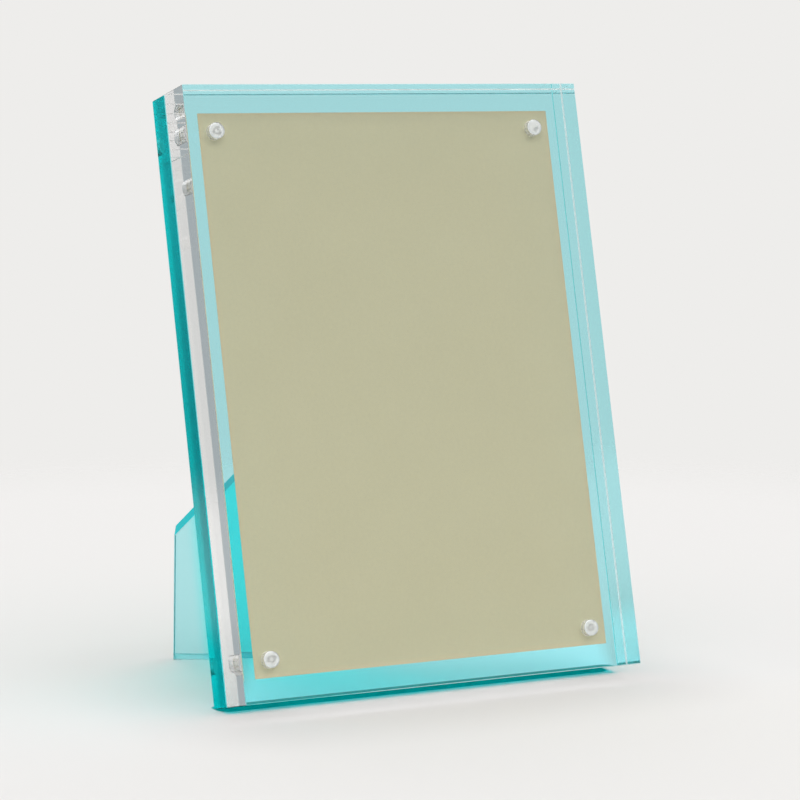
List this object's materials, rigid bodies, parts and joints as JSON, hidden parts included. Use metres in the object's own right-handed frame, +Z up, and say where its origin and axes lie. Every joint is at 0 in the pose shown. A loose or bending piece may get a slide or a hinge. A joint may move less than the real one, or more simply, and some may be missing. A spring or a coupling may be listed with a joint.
{
  "type": "acrylic photo frame",
  "caption": "Magnetic photo frame: a clear acrylic block over a tinted block with a print held between, leaning back on a bonded diagonal easel leg for upright or sideways display.",
  "frame": {"origin": "on the table, at the middle of the ground that the whole frame covers", "axes": "X to the viewer's right, Y away from the viewer, Z up; the frame stands upright as it is used, leaned 13.2 degrees back"},
  "size_m": [0.1422, 0.1082, 0.1934],
  "materials": {
    "clear_acrylic": "polished",
    "tinted_acrylic": "polished",
    "leg_acrylic": "polished",
    "print_card": "matte",
    "magnet": "satin"
  },
  "bodies": {
    "back": {"tinted_back_block": "tinted_acrylic", "easel_leg": "leg_acrylic", "back_magnet_top_left": "magnet", "back_magnet_top_right": "magnet", "back_magnet_bottom_left": "magnet", "back_magnet_bottom_right": "magnet"},
    "front": {"clear_front_block": "clear_acrylic", "front_magnet_top_left": "magnet", "front_magnet_top_right": "magnet", "front_magnet_bottom_left": "magnet", "front_magnet_bottom_right": "magnet"},
    "card": {"insert_card": "print_card"}
  },
  "joints": [
    {"name": "front_pull_off", "type": "slide", "parent": "back", "child": "front", "axis": [0, -0.9736, 0.2284], "range_m": [0, 0.03]},
    {"name": "card_draw_out", "type": "slide", "parent": "back", "child": "card", "axis": [0, 0.2284, 0.9736], "range_m": [0, 0.15]}
  ]
}
